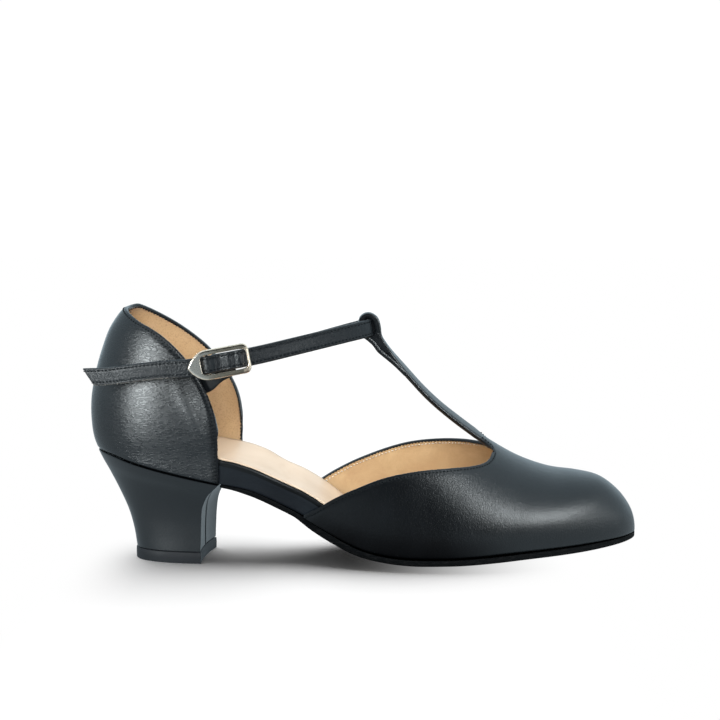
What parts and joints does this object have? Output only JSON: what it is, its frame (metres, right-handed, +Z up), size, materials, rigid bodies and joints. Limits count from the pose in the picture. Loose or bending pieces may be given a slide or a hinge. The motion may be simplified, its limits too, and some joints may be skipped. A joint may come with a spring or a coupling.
{
  "type": "ballroom_dance_shoe",
  "caption": "Closed-toe ballroom dance shoe for the right foot: hollow leather vamp with a T-bar loop, open sides, closed counter, ankle strap through a buckle, flared heel and thin sprung sole.",
  "frame": {"origin": "centre of the bounding box in plan, on the floor plane the heel tip and the forefoot stand on", "axes": "+X toe, +Y medial (inner) side, +Z up"},
  "size_m": [0.2399, 0.0768, 0.1113],
  "materials": {
    "sole_suede": "buffed suede underside with a matte black edge",
    "board_leather": "smooth black leather wrapped round the board's edge",
    "sock_leather": "smooth beige leather with a slight sheen",
    "heel_leather": "satin black leather cover",
    "tip_rubber": "matte dark grey",
    "vamp_leather": "satin black grained leather, tan inside",
    "counter_leather": "satin black grained leather, tan inside",
    "strap_leather": "satin black leather, stitched along both edges",
    "buckle_metal": "polished silver",
    "tab_leather": "satin black leather"
  },
  "bodies": {
    "root": {"outsole": "sole_suede", "insole_board": "board_leather", "sock_lining": "sock_leather", "heel": "heel_leather", "heel_tip": "tip_rubber", "vamp": "vamp_leather", "counter": "counter_leather", "ankle_strap": "strap_leather", "buckle": "buckle_metal", "buckle_tab": "tab_leather"}
  },
  "joints": []
}
